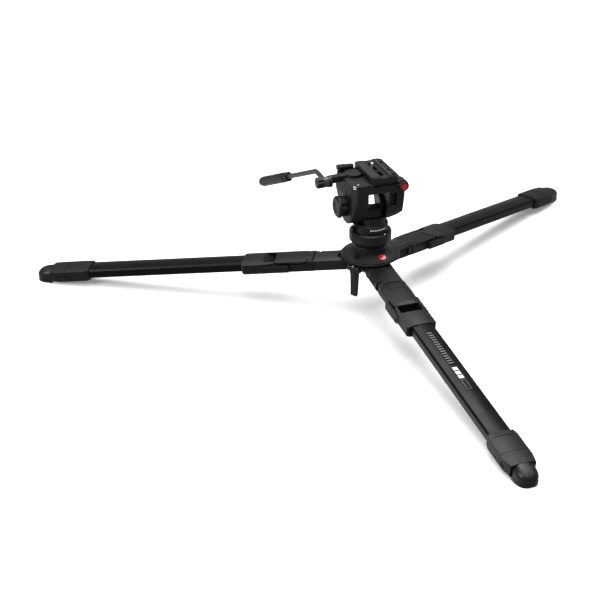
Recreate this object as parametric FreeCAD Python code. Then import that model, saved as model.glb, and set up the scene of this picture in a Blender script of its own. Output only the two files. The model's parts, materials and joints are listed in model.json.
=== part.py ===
import FreeCAD, Part
import math
import os

# Video tripod with a fluid head, legs spread to their lowest stop.
# Millimetres. +Z up, +X right, +Y back. One leg points to -Y and the head faces -Y.
# The model is built about the hub axis and moved at the end, so that the origin is
# the middle of the bounding box on the floor.

V = FreeCAD.Vector

# ---------------------------------------------------------------- driving dimensions
# leg layout
LEG_AZIMUTHS = {"front": -90.0, "right": 30.0, "left": 150.0}
PIVOT_R = 45.0              # hub axis to leg pivot axis
PIVOT_Z = 90.0              # floor to leg pivot axis at the lowest stop
NOSE_Z = 11.94323           # floor to the leg's centreline at the nose of the foot

# leg tubes
TUBE_W = 42.0
TUBE_H = 22.0
TUBE_CROWN = 1.6            # how far the top and bottom bulge
TUBE_CORNER = 5.0
LEG_CROWN_R = 84.0          # radius across the crowned tops of the leg's castings and mouldings
TUBE_WALL = 1.6
STAGE_WALL = 1.4
STAGE_GAP = 0.35            # play between one tube and the next, each side
OUTER_TUBE_L = 391.0
STAGE_TRAVEL = 330.0        # each sliding stage

# leg top casting and clamp
CASTING_W = 48.0
CASTING_H = 24.0
CASTING_L = 60.0            # pivot axis to the seam with the clamp sleeve
PIVOT_BOLT_R = 4.0
LUG_W = 25.0                # hub lug inside the casting's fork
LUG_R = 11.0
FORK_DEPTH = 14.0           # pivot axis to the root of the fork
LEVER_ZONE_W = 50.0
LEVER_ZONE_L = 77.0
POCKET_L = 26.0             # finger pocket behind the lever's tongue
POCKET_W = 43.0
POCKET_FLOOR = -4.5         # measured from the leg's centreline
SLEEVE_W = 57.0
SLEEVE_H = 26.0
SLEEVE_GRIP_L = 38.5        # from the pocket to the sleeve's end
LEVER_W = 51.0
LEVER_T = 8.8
LEVER_KNUCKLE_R = 5.7
LEVER_PIN_R = 2.0
POD_L = 66.0
POD_OUT = 7.0
LATCH_L = 36.0              # angle latch, let into the casting's side
LATCH_T = 7.5
LATCH_FLOOR = -8.0
LATCH_TRAVEL = 4.0
LATCH_START = 15.0           # pivot axis to the latch

# leg end
COLLAR_W = 52.0
COLLAR_H = 27.0
COLLAR_L = 50.0
SHOE_L = 31.0
SHOE_END_W = 45.0
SHOE_END_H = 26.0
FOOT_L = 32.4               # end of the shoe to the nose of the rubber
FOOT_W = 40.0
FOOT_CROWN_R = 27.0         # the rubber is domed across
FOOT_NOSE_L = 20.0
FOOT_TOP = 13.0             # rubber above the leg's centreline
FOOT_BELOW = 17.0           # rubber below it, before the sole is cut flat

# hub
HUB_R = 56.5
HUB_BOTTOM_Z = 83.0
HUB_RIM_Z = 106.0
SHOULDER_R = 54.0
SHOULDER_TOP_Z = 117.0
SHOULDER_TOP_R = 34.0
NECK_R = 31.0
NECK_TOP_Z = 128.0
HUB_CORE_R = 30.0
ROOF_Z = 103.6              # underside of the hub's roof over each leg root
COLUMN_R = 14.0
COLUMN_BOTTOM_Z = 68.0
COLUMN_TRAVEL = 25.0
CAP_R = 6.5
CAP_T = 3.2
CAP_AT_R = 42.0
LOCK_LEVER_AZIMUTH = 210.0
LOCK_LEVER_R = 47.0         # hub axis to the lever's pin
LOCK_LEVER_Z = 91.0
LOCK_LEVER_L = 56.0
LOCK_LEVER_W = 13.0
LOCK_LEVER_T = 8.0
LOCK_PIN_R = 2.5
CLEVIS_HALF = 12.5

# quick-release mount under the head
FLANGE_R = 40.0
FLANGE_TAPER_Z = 138.0
RING_BOTTOM_Z = 146.0
RING_TOP_Z = 157.0
FLANGE_BOSS_R = 32.5
RING_GRIPS = 36

# head
BASE_R = 33.0
BASE_BOTTOM_Z = 159.0
PAN_SPLIT_Z = 170.0
PAN_TOP_Z = 174.0
PAN_BLOCK_Z = 188.0
TILT_Z = 211.0
SADDLE_Z = 203.0
SADDLE_DEPTH = 28.0
UPRIGHT_T = 6.2
UPRIGHT_R = 14.0
ARM_INNER_X = 20.0
LEFT_ARM_X = -50.0
RIGHT_ARM_X = 51.0
ARM_R = 34.0                # lower ends of the arms, round the tilt axis
PLATFORM_Z = 262.0
PLATFORM_T = 19.0
PLATFORM_FRONT = -40.0
PLATFORM_BACK = 53.0
ARM_WAIST_Z = 232.0         # the arms' corners pass over the pan housing at full tilt
CARTRIDGE_R = 15.0
TRUNNION_R = 7.0
TILT_KNOB_R = 21.0
TILT_KNOB_LOBES = 8
PAN_KNOB_AZIMUTH = 190.0
COVER_T = 3.5
COVER_FRONT = -26.0
BUBBLE_X = -5.5

# sliding plate
PLATE_W = 54.0
PLATE_L = 93.0
PLATE_X = 13.5              # plate centre, right of the head's axis
PLATE_Y = 8.5
PLATE_TOP_Z = 273.0
PLATE_CHANNEL_W = 44.0      # dovetail foot, at its top
PLATE_CHANNEL_DEPTH = 6.0
SCREW_R = 3.175             # 1/4 inch camera thread, major radius
SCREW_OUT = 5.5
SCREW_XY = (12.3, 25.3)
SCREW_HEAD_R = 8.0
SCREW_NECK_R = 2.4          # relieved shank that turns in the washer and the slot
SCREW_NECK_TOP = 271.5
LOCK_X, LOCK_Y = -23.0, 46.0
BUTTON_R = 9.5
BUTTON_X = 47.5
BUTTON_Z = 252.5
BUTTON_TRAVEL = 2.5

# pan bar
ROSETTE_Y = 19.0
ROSETTE_Z = 256.0
ROSETTE_R = 11.0
BRACKET_DISC_R = 17.0
BRACKET_X = -27.0
BRACKET_END_X = -75.0
EYE_T = 10.0                # width of the pan bar's clamping eye
BAR_R = 4.75
BAR_BEND = V(-83.5, 68.0, 259.0)
BAR_TIP = V(-130.5, 256.5, 171.0)
BEND_R = 28.0
GRIP_L = 111.0
GRIP_R = 10.0

# clearances
RUN = 0.05                  # radial, a pin or shaft that turns in its bore
SLIDE = 0.30                # each side, faces that slide past each other
SEAT = 0.20                 # faces that meet across a seam

# ---------------------------------------------------------------- helpers
parts = {}
X, Y, Z = V(1, 0, 0), V(0, 1, 0), V(0, 0, 1)
O = V(0, 0, 0)


def box(x0, x1, y0, y1, z0, z1):
    return Part.makeBox(x1 - x0, y1 - y0, z1 - z0, V(x0, y0, z0))


def cyl(start, along, radius, length):
    return Part.makeCylinder(radius, length, start, along)


def rod_y(x, z, radius, half):
    """Round bar across Y, centred on y = 0."""
    return cyl(V(x, -half, z), Y, radius, 2 * half)


def fuse(first, *others):
    return first.fuse(list(others)).removeSplitter()


def cut(first, *others):
    for other in others:
        first = first.cut(other)
    return first


def rounded_wire(x, half_w, z0, z1, r):
    """Rounded rectangle in the plane at x, |y| <= half_w."""
    k = r * (1 - math.sqrt(0.5))
    w = half_w
    pts = [(-w + r, z0), (w - r, z0), (w - k, z0 + k), (w, z0 + r), (w, z1 - r), (w - k, z1 - k),
           (w - r, z1), (-w + r, z1), (-w + k, z1 - k), (-w, z1 - r), (-w, z0 + r), (-w + k, z0 + k)]
    p = [V(x, a, b) for a, b in pts]
    edges = []
    for i in range(0, 12, 3):
        edges.append(Part.makeLine(p[i], p[i + 1]))
        edges.append(Part.Arc(p[i + 1], p[i + 2], p[(i + 3) % 12]).toShape())
    return Part.Wire(edges)


def rounded_bar(x0, x1, half_w, z0, z1, r):
    return Part.Face(rounded_wire(x0, half_w, z0, z1, r)).extrude(V(x1 - x0, 0, 0))


def taper(sections):
    """Straight loft through (x, half_w, z0, z1, r) sections."""
    return Part.makeLoft([rounded_wire(*s) for s in sections], True, True)


def crown(top, radius):
    """Long bar down the leg whose upper side is an arc that peaks at this height."""
    return cyl(V(-60, 0, top - radius), X, radius, LEG_LENGTH + 120)


def crowned(shape, top, radius):
    """Trims a leg piece to the crown. The peak sits a little below the flat that it replaces."""
    return shape.common(crown(top - 0.1, radius))


def crown_recess(x0, x1, half_w, top, depth):
    """Shallow pocket whose floor follows the crown."""
    return cut(rounded_bar(x0, x1, half_w, top - 8, top + 6, 2.5), crown(top - 0.1 - depth, LEG_CROWN_R))


def plate_shape(points, z0, z1):
    """Straight-sided prism over an (x, y) outline."""
    wire = Part.makePolygon([V(a, b, z0) for a, b in points + points[:1]])
    return Part.Face(wire).extrude(V(0, 0, z1 - z0))


def side_shape(points, x0, x1):
    """Prism along X over a (y, z) outline."""
    wire = Part.makePolygon([V(x0, a, b) for a, b in points + points[:1]])
    return Part.Face(wire).extrude(V(x1 - x0, 0, 0))


def turned(profile):
    """Solid of revolution about Z from (r, z) points."""
    wire = Part.makePolygon([V(r, 0, z) for r, z in profile + profile[:1]])
    return Part.Face(wire).revolve(O, Z, 360)


def polar(radius, azimuth, z=0.0):
    a = math.radians(azimuth)
    return V(radius * math.cos(a), radius * math.sin(a), z)


def spun(shape, azimuth):
    shape = shape.copy()
    shape.rotate(O, Z, azimuth)
    return shape


# ---------------------------------------------------------------- leg, in its own frame
# X runs down the leg from the pivot axis, Y across it, Z square to it.
SEAM = CASTING_L
LEVER_END = SEAM + LEVER_ZONE_L
POCKET_END = LEVER_END + POCKET_L
SLEEVE_END = POCKET_END + SLEEVE_GRIP_L
TUBE_START = POCKET_END + 2.0
TUBE_END = TUBE_START + OUTER_TUBE_L
COLLAR_END = TUBE_END + 8.0
COLLAR_START = COLLAR_END - COLLAR_L
SHOE_START = COLLAR_END + 0.6
SHOE_END = SHOE_START + SHOE_L
LEG_LENGTH = SHOE_END + FOOT_L          # pivot axis to the nose of the rubber foot
HINGE_X = SEAM + LEVER_KNUCKLE_R + 0.8
HINGE_Z = SLEEVE_H / 2 - LEVER_KNUCKLE_R
LEVER_FLOOR = SLEEVE_H / 2 - LEVER_T - 0.5
CHEEK_IN = 18.0             # inner face of the lever's hinge cheeks
DROP = math.asin((PIVOT_Z - NOSE_Z) / LEG_LENGTH)     # below the horizontal, lowest stop
COLUMN_TOP_Z = NECK_TOP_Z + 6.0


def tube_wire(x, inset):
    """Crowned tube section, inset evenly from the outermost tube's outline."""
    w = TUBE_W / 2
    h = TUBE_H / 2
    shoulder = h - TUBE_CROWN
    c = TUBE_CORNER
    k = c * (1 - math.sqrt(0.5))
    quarter = [(w, shoulder - c), (w - k, shoulder - k), (w - c, shoulder), (0, h)]
    top = quarter + [(-a, b) for a, b in reversed(quarter[:3])]
    bottom = [(-a, -b) for a, b in top]
    edges = []
    for half, other in ((top, bottom), (bottom, top)):
        p = [V(x, a, b) for a, b in half]
        edges += [Part.Arc(p[0], p[1], p[2]).toShape(), Part.Arc(p[2], p[3], p[4]).toShape(),
                  Part.Arc(p[4], p[5], p[6]).toShape(), Part.makeLine(p[6], V(x, *other[0]))]
    wire = Part.Wire(edges)
    return wire if inset == 0 else wire.makeOffset2D(-inset)


def tube_solid(x0, x1, inset):
    return Part.Face(tube_wire(x0, inset)).extrude(V(x1 - x0, 0, 0))


def fork_cheek(y0, y1):
    """One side of the casting: round about the pivot, then a straight bar to the seam."""
    top, r = CASTING_H / 2, CASTING_H / 2 - 0.5
    inset = 1.5
    ring = [V(0, y0, r), V(8, y0, top), V(SEAM, y0, top), V(SEAM, y0, -top), V(8, y0, -top), V(0, y0, -r)]
    edges = [Part.makeLine(a, b) for a, b in zip(ring, ring[1:])]
    edges.append(Part.Arc(V(0, y0, -r), V(-r, y0, 0), V(0, y0, r)).toShape())
    side = Part.Face(Part.Wire(edges)).extrude(V(0, y1 - y0, 0))
    outer = y0 if y0 < 0 else y1
    sign = -1 if y0 < 0 else 1
    corners = []
    for z in (-top, top):
        sz = 1 if z > 0 else -1
        pts = [V(4, outer - sign * inset, z + sz), V(4, outer + sign, z + sz),
               V(4, outer + sign, z - sz * inset), V(4, outer, z - sz * inset),
               V(4, outer - sign * inset, z)]
        corners.append(Part.Face(Part.makePolygon(pts + pts[:1])).extrude(V(SEAM, 0, 0)))
    return cut(side, *corners)


def leg_top():
    gap = LUG_W / 2 + SLIDE
    cheeks = [fork_cheek(-CASTING_W / 2, -gap), fork_cheek(gap, CASTING_W / 2)]
    core = box(FORK_DEPTH, SEAM, -gap - 1, gap + 1, -CASTING_H / 2, CASTING_H / 2)
    socket = rounded_bar(SEAM - 34, SEAM + 1, 14.0, -7.5, 7.5, 3.0)
    bore = rod_y(0, 0, PIVOT_BOLT_R + RUN, CASTING_W)
    side = -CASTING_W / 2 + LATCH_T
    latch_bed = box(LATCH_START - SLIDE, LATCH_START + LATCH_L + LATCH_TRAVEL + SLIDE, -CASTING_W, side,
                    LATCH_FLOOR - SLIDE, CASTING_H)
    rail_groove = box(LATCH_START - SLIDE, LATCH_START + LATCH_L + LATCH_TRAVEL + SLIDE, side - 1,
                      side + 1.5 + SLIDE, -3 - SLIDE, 3 + SLIDE)
    body = crowned(fuse(core, *cheeks), CASTING_H / 2, LEG_CROWN_R)
    return cut(body, socket, bore, latch_bed, rail_groove)


def clamp_sleeve():
    top = SLEEVE_H / 2
    spigot = rounded_bar(SEAM - 33, SEAM + 0.5, 14.0 - SEAT / 2, -7.4, 7.4, 3.0)
    lever_zone = rounded_bar(SEAM + SEAT, LEVER_END + 1, LEVER_ZONE_W / 2, -top, top, 5.0)
    sleeve = taper([(LEVER_END, LEVER_ZONE_W / 2 + 0.5, -top, top, 5.0),
                    (POCKET_END - 4, SLEEVE_W / 2, -top, top, 5.5),
                    (SLEEVE_END - 3, SLEEVE_W / 2, -top, top, 5.5),
                    (SLEEVE_END, SLEEVE_W / 2 - 2.5, -top + 1.0, top - 1.0, 5.0)])
    body = fuse(lever_zone, sleeve)
    lever_bed = box(SEAM - 1, LEVER_END + SEAT, -SLEEVE_W, SLEEVE_W, LEVER_FLOOR, top + 1)
    body = cut(body, lever_bed)
    cheeks = [fuse(rod_y(HINGE_X, HINGE_Z, LEVER_KNUCKLE_R, LEVER_ZONE_W / 2),
                   box(SEAM + SEAT, HINGE_X + LEVER_KNUCKLE_R, -LEVER_ZONE_W / 2, LEVER_ZONE_W / 2,
                       LEVER_FLOOR - 1, HINGE_Z))]
    hinge_gap = box(SEAM - 1, HINGE_X + LEVER_KNUCKLE_R + 2, -CHEEK_IN, CHEEK_IN,
                    HINGE_Z - LEVER_KNUCKLE_R - 0.6, top + 2)
    body = cut(fuse(body, *cheeks), hinge_gap)
    for side in (-1, 1):
        a, b = sorted((side * (LEVER_ZONE_W / 2 - 3), side * (LEVER_ZONE_W / 2 + POD_OUT)))
        start = LEVER_END - 31
        outline = [(start, a if side > 0 else b), (start + 3, b if side > 0 else a),
                   (start + POD_L - 14, b if side > 0 else a), (start + POD_L, a if side > 0 else b)]
        body = fuse(body, plate_shape(outline, -9.0, LEVER_FLOOR))
    ramp = [(LEVER_END - 1, POCKET_FLOOR), (LEVER_END + 5, POCKET_FLOOR), (POCKET_END - 2, top),
            (POCKET_END - 2, top + 2), (LEVER_END - 1, top + 2)]
    ring = [V(x, -POCKET_W / 2, z) for x, z in ramp + ramp[:1]]
    pocket = Part.Face(Part.makePolygon(ring)).extrude(V(0, POCKET_W, 0))
    bore = tube_solid(TUBE_START, SLEEVE_END + 1, -0.05)
    pin_bore = rod_y(HINGE_X, HINGE_Z, LEVER_PIN_R, SLEEVE_W)
    return cut(crowned(fuse(body, spigot), top, LEG_CROWN_R), pocket, bore, pin_bore)


def clamp_lever():
    top = SLEEVE_H / 2
    half = LEVER_W / 2
    low = LEVER_FLOOR + 0.5
    knuckle = rod_y(HINGE_X, HINGE_Z, LEVER_KNUCKLE_R, CHEEK_IN - SLIDE)
    web = box(HINGE_X, HINGE_X + 9, -CHEEK_IN + SLIDE, CHEEK_IN - SLIDE, low, top)
    plate = taper([(HINGE_X + LEVER_KNUCKLE_R + 1.3, half - 1.0, low, top, 3.0),
                   (HINGE_X + 20, half, low, top + 0.4, 3.5),
                   (LEVER_END - 8, half, low, top + 0.4, 3.5),
                   (LEVER_END - 0.5, half - 2.5, low + 2.2, top - 1.2, 2.0)])
    proud = top + 0.4
    panel = crown_recess(HINGE_X + 16, HINGE_X + LEVER_ZONE_L - 18, 17.0, proud, 0.6)
    dot = cyl(V(LEVER_END - 33, 0, top - 1.0), Z, 1.8, 1.0)
    pin_bore = rod_y(HINGE_X, HINGE_Z, LEVER_PIN_R + RUN, SLEEVE_W)
    body = crowned(fuse(knuckle, web, plate), proud, LEG_CROWN_R)
    return fuse(cut(body, panel, pin_bore), dot)


def angle_latch():
    inner = -CASTING_W / 2 + LATCH_T - SLIDE
    outer = -CASTING_W / 2
    end = LATCH_START + LATCH_L
    top = CASTING_H / 2 - 1.5
    slab = box(LATCH_START, end, outer + 1.0, inner, LATCH_FLOOR, top)
    rail = box(LATCH_START, end, inner - 1, inner + 1.5 + SLIDE / 2, -3, 3)
    stub = box(end - 8, end, outer - 2.5, outer + 2, LATCH_FLOOR, top - 4)
    ribs = [box(LATCH_START + 2 + 5 * i, LATCH_START + 4.5 + 5 * i, outer, inner - 2, LATCH_FLOOR, top + 1)
            for i in range(5)]
    return crowned(fuse(slab, rail, stub, *ribs), CASTING_H / 2 - 0.5, LEG_CROWN_R)


def end_collar():
    top = COLLAR_H / 2
    shell = taper([(COLLAR_START, TUBE_W / 2 + 2.5, -TUBE_H / 2 - 1.5, TUBE_H / 2 + 1.5, 5.0),
                   (COLLAR_START + 9, COLLAR_W / 2, -top, top, 5.5),
                   (COLLAR_END, COLLAR_W / 2, -top, top, 5.5)])
    shell = crowned(shell, top, LEG_CROWN_R)
    panel = crown_recess(COLLAR_START + 11, COLLAR_END - 4, COLLAR_W / 2 - 9, top, 1.0)
    seat = tube_solid(COLLAR_START - 1, TUBE_END, -0.05)
    mouth = tube_solid(TUBE_END - 1, COLLAR_END + 1, TUBE_WALL + STAGE_GAP - SLIDE)
    return cut(shell, panel, seat, mouth)


def foot_shoe():
    top = COLLAR_H / 2
    body = taper([(SHOE_START, COLLAR_W / 2, -top, top, 5.5),
                  (SHOE_START + 12, COLLAR_W / 2, -top, top, 5.5),
                  (SHOE_END, SHOE_END_W / 2, -SHOE_END_H / 2, SHOE_END_H / 2, 6.0)])
    body = crowned(body, top, LEG_CROWN_R)
    socket = tube_solid(SHOE_START - 1, SHOE_END - 6, LOWER_INSET - 0.05)
    slots = [box(SHOE_START + 6, SHOE_START + 16, s * COLLAR_W / 2 - 1.5, s * COLLAR_W / 2 + 1.5, -5, 3)
             for s in (-1, 1)]
    spigot = rounded_bar(SHOE_END - 1, SHOE_END + 9, 12.0, -6, 6, 3.0)
    return fuse(cut(body, socket, *slots), spigot)


def sole_z(x):
    """Height of the floor in the leg's frame at x."""
    return -(PIVOT_Z - x * math.sin(DROP)) / math.cos(DROP)


def rubber_foot():
    w = FOOT_W / 2
    nose = FOOT_NOSE_L
    x0, x1, mid = SHOE_END + SEAT, LEG_LENGTH, LEG_LENGTH - nose
    diag = math.sqrt(0.5)
    plan = [Part.makeLine(V(x0, -w, -30), V(mid, -w, -30)),
            Part.Arc(V(mid, -w, -30), V(mid + nose * diag, -w * diag, -30), V(x1, 0, -30)).toShape(),
            Part.Arc(V(x1, 0, -30), V(mid + nose * diag, w * diag, -30), V(mid, w, -30)).toShape(),
            Part.makeLine(V(mid, w, -30), V(x0, w, -30)),
            Part.makeLine(V(x0, w, -30), V(x0, -w, -30))]
    prism = Part.Face(Part.Wire(plan)).extrude(V(0, 0, 60))
    nose_z = -3.0
    side = [Part.makeLine(V(x0, -40, -FOOT_BELOW), V(x0, -40, FOOT_TOP)),
            Part.makeLine(V(x0, -40, FOOT_TOP), V(x0 + 12, -40, FOOT_TOP)),
            Part.Arc(V(x0 + 12, -40, FOOT_TOP), V(x1 - 6, -40, 7.0), V(x1, -40, nose_z)).toShape(),
            Part.Arc(V(x1, -40, nose_z), V(x1 - 4, -40, -11.5), V(mid, -40, -FOOT_BELOW)).toShape(),
            Part.makeLine(V(mid, -40, -FOOT_BELOW), V(x0, -40, -FOOT_BELOW))]
    profile = Part.Face(Part.Wire(side)).extrude(V(0, 80, 0))
    body = crowned(prism.common(profile), FOOT_TOP, FOOT_CROWN_R)
    below = Part.makePolygon([V(x0 - 5, -40, sole_z(x0 - 5)), V(x1 + 5, -40, sole_z(x1 + 5)),
                              V(x1 + 5, -40, -60), V(x0 - 5, -40, -60), V(x0 - 5, -40, sole_z(x0 - 5))])
    below = Part.Face(below).extrude(V(0, 80, 0))
    socket = rounded_bar(x0 - 1, SHOE_END + 9.2, 12.05, -6.05, 6.05, 3.0)
    return cut(body, below, socket)


MID_INSET = TUBE_WALL + STAGE_GAP
LOWER_INSET = MID_INSET + STAGE_WALL + STAGE_GAP


def make_leg(name, azimuth):
    pieces = {
        "leg_top": leg_top(),
        "clamp_sleeve": clamp_sleeve(),
        "clamp_lever": clamp_lever(),
        "lever_pin": rod_y(HINGE_X, HINGE_Z, LEVER_PIN_R, LEVER_ZONE_W / 2 - 0.4),
        "angle_latch": angle_latch(),
        "outer_tube": cut(tube_solid(TUBE_START, TUBE_END, 0),
                          tube_solid(TUBE_START - 1, TUBE_END + 1, TUBE_WALL)),
        "end_collar": end_collar(),
        "mid_tube": cut(tube_solid(TUBE_START + 3, COLLAR_END, MID_INSET),
                        tube_solid(TUBE_START, COLLAR_END + 1, MID_INSET + STAGE_WALL)),
        "lower_tube": cut(tube_solid(TUBE_START + 5, SHOE_END - 6, LOWER_INSET),
                          tube_solid(TUBE_START, SHOE_END, LOWER_INSET + STAGE_WALL)),
        "foot_shoe": foot_shoe(),
        "rubber_foot": rubber_foot(),
    }
    for piece, shape in pieces.items():
        shape = shape.copy()
        shape.rotate(O, Y, math.degrees(DROP))
        shape.translate(V(PIVOT_R, 0, PIVOT_Z))
        parts[f"{name}_{piece}"] = spun(shape, azimuth)


for leg, azimuth in LEG_AZIMUTHS.items():
    make_leg(leg, azimuth)

# ---------------------------------------------------------------- hub
def on_shoulder(radius):
    """Height of the hub's sloping shoulder at a radius."""
    slope = (SHOULDER_TOP_Z - HUB_RIM_Z - 2.0) / (SHOULDER_R - SHOULDER_TOP_R)
    return HUB_RIM_Z + 2.0 + (SHOULDER_R - radius) * slope


def lever_place(shape):
    """From the lock lever's own frame, X outwards from the hub axis, to the hub's."""
    return spun(shape, LOCK_LEVER_AZIMUTH)


def hub_casting():
    bore = COLUMN_R + RUN
    body = turned([(bore, HUB_BOTTOM_Z), (HUB_CORE_R - 2, HUB_BOTTOM_Z), (HUB_CORE_R, HUB_BOTTOM_Z + 2),
                   (HUB_CORE_R, ROOF_Z), (HUB_R - 1, ROOF_Z), (HUB_R, ROOF_Z + 0.8),
                   (HUB_R, HUB_RIM_Z - 0.6), (HUB_R - 0.6, HUB_RIM_Z), (SHOULDER_R, HUB_RIM_Z),
                   (SHOULDER_R, HUB_RIM_Z + 2), (SHOULDER_TOP_R, SHOULDER_TOP_Z),
                   (NECK_R, SHOULDER_TOP_Z + 1), (NECK_R, NECK_TOP_Z - 1.5),
                   (NECK_R - 1.5, NECK_TOP_Z), (bore, NECK_TOP_Z)])
    lugs, bores = [], []
    for azimuth in LEG_AZIMUTHS.values():
        web = box(HUB_CORE_R - 8, PIVOT_R, -LUG_W / 2, LUG_W / 2, PIVOT_Z - LUG_R + 2, ROOF_Z + 1)
        end = cyl(V(PIVOT_R, -LUG_W / 2, PIVOT_Z), Y, LUG_R, LUG_W)
        bolt = cyl(V(PIVOT_R, -HUB_R, PIVOT_Z), Y, PIVOT_BOLT_R, 2 * HUB_R)
        lugs += [spun(web, azimuth), spun(end, azimuth)]
        bores.append(spun(bolt, azimuth))
    clevis = box(HUB_CORE_R - 8, LOCK_LEVER_R, -CLEVIS_HALF, CLEVIS_HALF, LOCK_LEVER_Z - 7, ROOF_Z + 1)
    clevis_end = cyl(V(LOCK_LEVER_R, -CLEVIS_HALF, LOCK_LEVER_Z), Y, 7.0, 2 * CLEVIS_HALF)
    gap = LOCK_LEVER_W / 2 + SLIDE
    lever_gap = box(LOCK_LEVER_R - 9, HUB_R + 5, -gap, gap, HUB_BOTTOM_Z - 5, ROOF_Z)
    lever_pin = cyl(V(LOCK_LEVER_R, -CLEVIS_HALF - 1, LOCK_LEVER_Z), Y, LOCK_PIN_R, 2 * CLEVIS_HALF + 2)
    cap_seat = cyl(polar(CAP_AT_R, LOCK_LEVER_AZIMUTH, on_shoulder(CAP_AT_R) - CAP_T), Z, CAP_R, 20)
    body = fuse(body, *lugs, lever_place(fuse(clevis, clevis_end)))
    return cut(body, *bores, lever_place(lever_gap), lever_place(lever_pin), cap_seat)


def leg_pivot_bolts():
    bolts = []
    half = CASTING_W / 2 + 0.8
    for azimuth in LEG_AZIMUTHS.values():
        bolt = cyl(V(PIVOT_R, -half, PIVOT_Z), Y, PIVOT_BOLT_R, 2 * half)
        bolts.append(spun(bolt, azimuth))
    return Part.makeCompound(bolts)


def column_lock_lever():
    half = LOCK_LEVER_W / 2
    root = cyl(V(LOCK_LEVER_R, -half, LOCK_LEVER_Z), Y, 8.0, LOCK_LEVER_W)
    r, t, low = LOCK_LEVER_R, LOCK_LEVER_T / 2, LOCK_LEVER_Z - LOCK_LEVER_L
    side = [V(r - 8, -half, LOCK_LEVER_Z), V(r - 6.5, -half, LOCK_LEVER_Z - 16), V(r - t, -half, low + 10),
            V(r - t + 1, -half, low), V(r + t - 1, -half, low - 1), V(r + t, -half, low + 2),
            V(r + t + 1, -half, LOCK_LEVER_Z - 14), V(r + 8, -half, LOCK_LEVER_Z)]
    blade = Part.Face(Part.makePolygon(side + side[:1])).extrude(V(0, LOCK_LEVER_W, 0))
    bore = cyl(V(r, -half - 1, LOCK_LEVER_Z), Y, LOCK_PIN_R + RUN, LOCK_LEVER_W + 2)
    return lever_place(cut(fuse(root, blade), bore))


def column_lever_pin():
    return lever_place(cyl(V(LOCK_LEVER_R, -CLEVIS_HALF, LOCK_LEVER_Z), Y, LOCK_PIN_R, 2 * CLEVIS_HALF))


def accessory_cap():
    z = on_shoulder(CAP_AT_R)
    disc = cyl(polar(CAP_AT_R, LOCK_LEVER_AZIMUTH, z - CAP_T), Z, CAP_R - 0.1, CAP_T + 0.8)
    slot = box(-4, 4, -0.8, 0.8, z + 0.1, z + 2)
    slot.translate(polar(CAP_AT_R, LOCK_LEVER_AZIMUTH))
    return cut(disc, slot)


def column_tube():
    outer = cyl(V(0, 0, COLUMN_BOTTOM_Z), Z, COLUMN_R, COLUMN_TOP_Z - COLUMN_BOTTOM_Z)
    return cut(outer, cyl(V(0, 0, COLUMN_BOTTOM_Z - 1), Z, COLUMN_R - 2.0, 30))


def quick_release_body():
    base = NECK_TOP_Z + SLIDE
    body = turned([(0, base), (NECK_R, base), (NECK_R + 1, base + 1), (FLANGE_R, FLANGE_TAPER_Z),
                   (FLANGE_R, RING_BOTTOM_Z - SLIDE), (FLANGE_BOSS_R, RING_BOTTOM_Z - SLIDE),
                   (FLANGE_BOSS_R, BASE_BOTTOM_Z), (0, BASE_BOTTOM_Z)])
    return cut(body, cyl(V(0, 0, base - 1), Z, COLUMN_R, COLUMN_TOP_Z - base + 1))


def quick_release_ring():
    inner = FLANGE_BOSS_R + RUN
    ring = turned([(inner, RING_BOTTOM_Z), (FLANGE_R, RING_BOTTOM_Z), (FLANGE_R, RING_TOP_Z - 2.5),
                   (FLANGE_R - 2.5, RING_TOP_Z), (inner, RING_TOP_Z)])
    grips = []
    for i in range(RING_GRIPS):
        at = polar(FLANGE_R + 1.0, i * 360 / RING_GRIPS, RING_BOTTOM_Z + 1.5)
        grips.append(cyl(at, Z, 1.8, RING_TOP_Z - RING_BOTTOM_Z))
    return cut(ring, *grips)


# ---------------------------------------------------------------- head
PLATFORM_BOTTOM = PLATFORM_Z - PLATFORM_T
HEAD_KNOB_Z = (BASE_BOTTOM_Z + PAN_SPLIT_Z) / 2
WASHER_Z = PLATFORM_Z + 2.2     # underside of the screw's washer
SCREW_HEAD_Z = PLATFORM_Z - PLATE_CHANNEL_DEPTH + 1.0
EYE_X0 = BRACKET_END_X - 3.0 - SLIDE - EYE_T


def head_base():
    body = turned([(0, BASE_BOTTOM_Z + SEAT), (BASE_R - 1, BASE_BOTTOM_Z + SEAT),
                   (BASE_R, BASE_BOTTOM_Z + 1.5), (BASE_R, PAN_SPLIT_Z - 0.8),
                   (BASE_R - 0.8, PAN_SPLIT_Z), (0, PAN_SPLIT_Z)])
    boss = cyl(polar(BASE_R - 8, PAN_KNOB_AZIMUTH, HEAD_KNOB_Z), polar(1, PAN_KNOB_AZIMUTH), 4.6, 9.5)
    bore = cyl(polar(BASE_R - 9, PAN_KNOB_AZIMUTH, HEAD_KNOB_Z), polar(1, PAN_KNOB_AZIMUTH), 2 + RUN, 12)
    return cut(fuse(body, boss), bore)


def pan_lock_knob():
    along = polar(1, PAN_KNOB_AZIMUTH)
    stem = cyl(polar(BASE_R - 8, PAN_KNOB_AZIMUTH, HEAD_KNOB_Z), along, 2.0, 12)
    grip = cyl(polar(BASE_R + 2, PAN_KNOB_AZIMUTH, HEAD_KNOB_Z), along, 5.2, 7.5)
    rim = cyl(polar(BASE_R + 7, PAN_KNOB_AZIMUTH, HEAD_KNOB_Z), along, 5.6, 2.0)
    return fuse(stem, grip, rim)


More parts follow.
